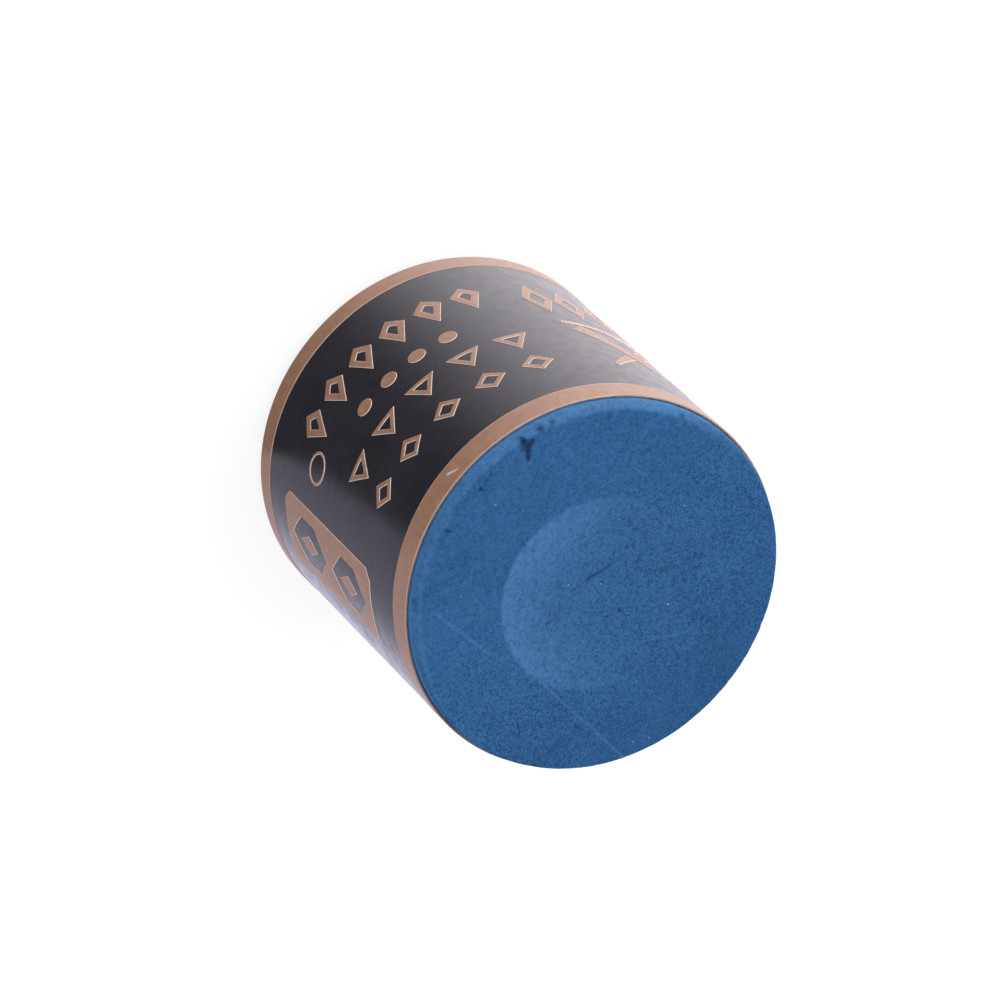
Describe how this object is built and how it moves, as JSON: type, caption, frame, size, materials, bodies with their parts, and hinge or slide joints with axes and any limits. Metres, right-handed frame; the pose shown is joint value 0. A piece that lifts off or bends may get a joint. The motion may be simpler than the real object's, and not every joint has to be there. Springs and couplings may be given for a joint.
{
  "type": "cue chalk",
  "caption": "Round cue chalk: a pressed blue chalk cylinder with a shallow dished working face, wrapped in a black paper label stamped with copper foil.",
  "frame": {"origin": "centre of the chalk's flat base", "axes": "+Z along the chalk's axis from the base towards the dished working face; -Y is the front of the label, the middle of its rows of foil marks; +X is to the right of the front"},
  "size_m": [0.022, 0.0221, 0.022],
  "materials": {
    "chalk": "matte",
    "glue": "satin",
    "label_paper": "satin",
    "copper_foil": "satin"
  },
  "bodies": {
    "root": {"chalk_block": "chalk", "adhesive_layer": "glue", "label_wrap": "label_paper", "top_foil_band": "copper_foil", "bottom_foil_band": "copper_foil", "lozenge_row_foil": "copper_foil", "triangle_row_foil": "copper_foil", "dot_row_foil": "copper_foil", "point_row_foil": "copper_foil", "ring_mark_foil": "copper_foil", "tall_emblem_foil": "copper_foil", "cues_emblem_foil": "copper_foil", "rack_emblem_foil": "copper_foil"}
  },
  "joints": []
}
